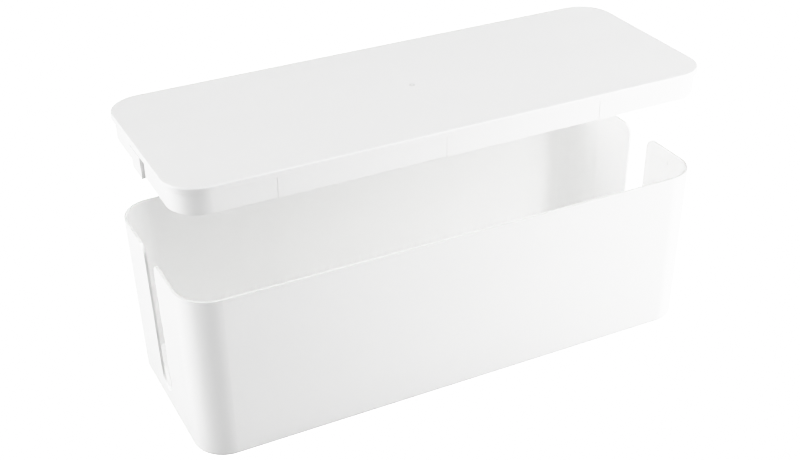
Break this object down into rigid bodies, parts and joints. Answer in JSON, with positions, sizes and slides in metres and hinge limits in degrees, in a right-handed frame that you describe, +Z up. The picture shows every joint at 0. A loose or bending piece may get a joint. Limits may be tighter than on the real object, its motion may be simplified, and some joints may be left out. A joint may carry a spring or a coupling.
{
  "type": "cable management box",
  "caption": "Deep open-topped plastic box that hides a power strip and its leads, with a cable slot in each end wall, rubber feet and a flat lid that lifts straight off.",
  "frame": {"origin": "on the surface that the feet stand on, under the middle of the box", "axes": "+X along the box's length, -Y towards its front, +Z up"},
  "size_m": [0.4064, 0.1564, 0.2129],
  "materials": {
    "box_plastic": "opaque white moulded plastic, fine satin texture",
    "lid_plastic": "opaque white moulded plastic, fine satin texture",
    "foot_rubber": "soft pale grey rubber, matt"
  },
  "bodies": {
    "box": {"box_body": "box_plastic", "foot_front_left": "foot_rubber", "foot_front_right": "foot_rubber", "foot_rear_left": "foot_rubber", "foot_rear_right": "foot_rubber"},
    "lid": {"lid": "lid_plastic"}
  },
  "joints": [
    {"name": "lid_lift", "type": "slide", "parent": "box", "child": "lid", "axis": [0, 0, 1], "range_m": [-0.0785, 0.05]}
  ]
}
